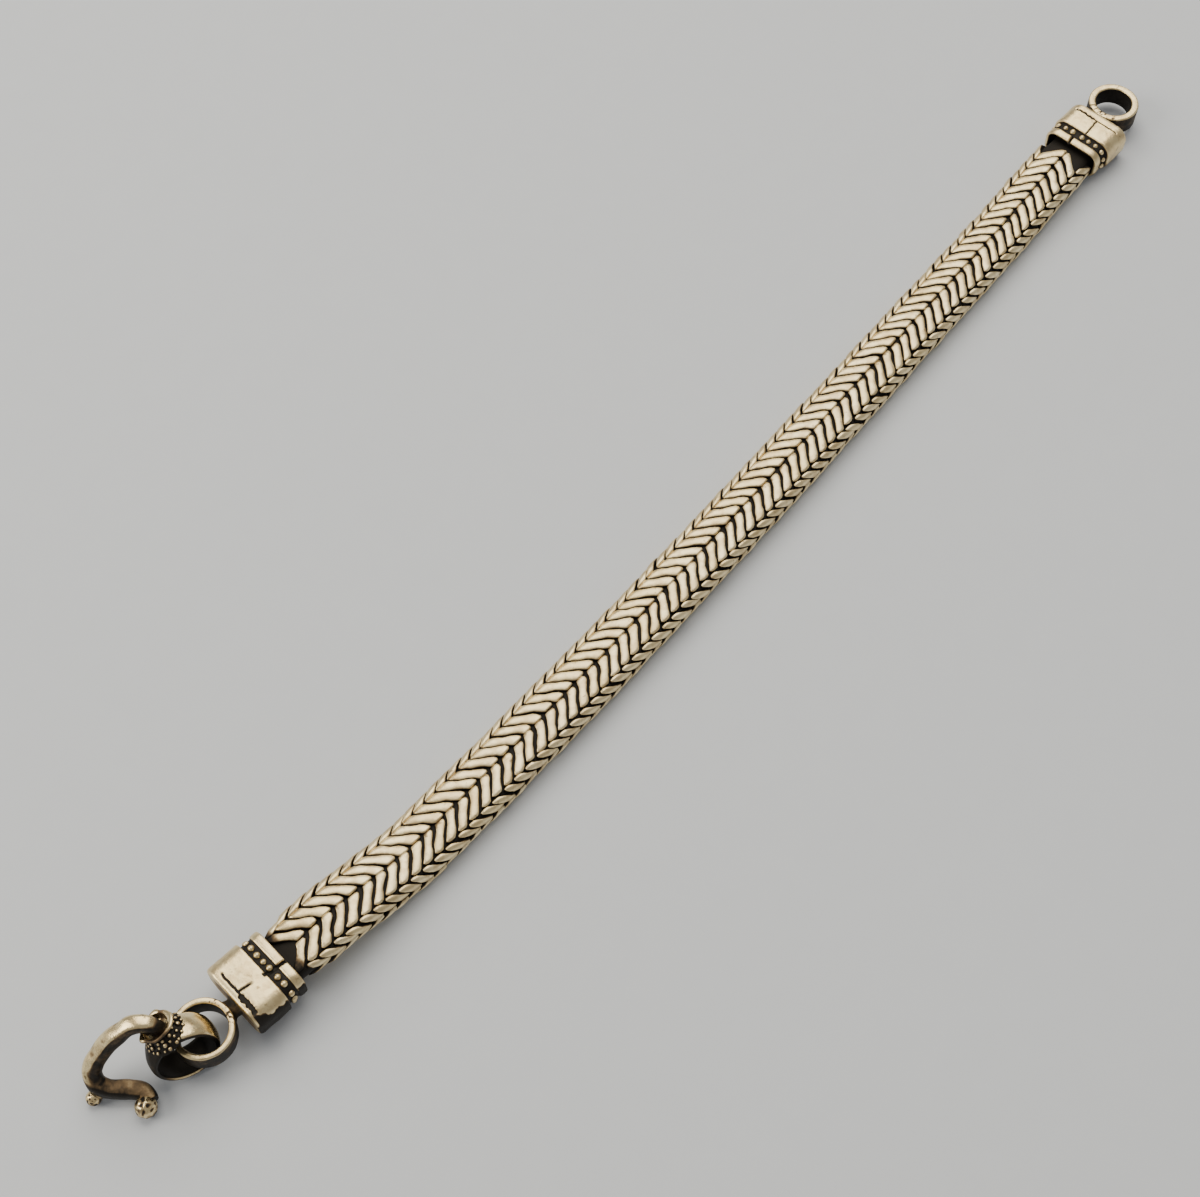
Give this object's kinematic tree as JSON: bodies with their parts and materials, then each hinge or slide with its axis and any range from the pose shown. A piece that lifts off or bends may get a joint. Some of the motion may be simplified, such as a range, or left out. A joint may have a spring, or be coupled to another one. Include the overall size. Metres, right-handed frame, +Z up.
{
  "type": "wheat chain bracelet",
  "caption": "Oxidised silver bracelet of flat wheat chain between two granulated end caps, with a soldered ring at one end and a swinging wire hook on the ring of the other.",
  "frame": {"origin": "on the ground under the middle of the whole piece's box", "axes": "+X along the chain to the plain ring, with the hook at low X, +Y across the band, +Z up"},
  "size_m": [0.205, 0.0144, 0.0107],
  "materials": {
    "woven_silver": "burnished silver links with black oxide left in the grooves",
    "cap_silver": "burnished warm silver with dark oxide in the seams and round the granules",
    "hook_silver": "hammered and burnished silver with dark oxide in the hollows"
  },
  "bodies": {
    "bracelet": {"chain": "woven_silver", "hook_end_cap": "cap_silver", "ring_end_cap": "cap_silver"},
    "hook": {"hook": "hook_silver"}
  },
  "joints": [
    {"name": "hook_swing", "type": "hinge", "parent": "bracelet", "child": "hook", "pos_m": [-0.09129, -0.00005, 0.0042], "axis": [0.3345, 0.9192, -0.2079], "range_deg": [0, 50]}
  ]
}
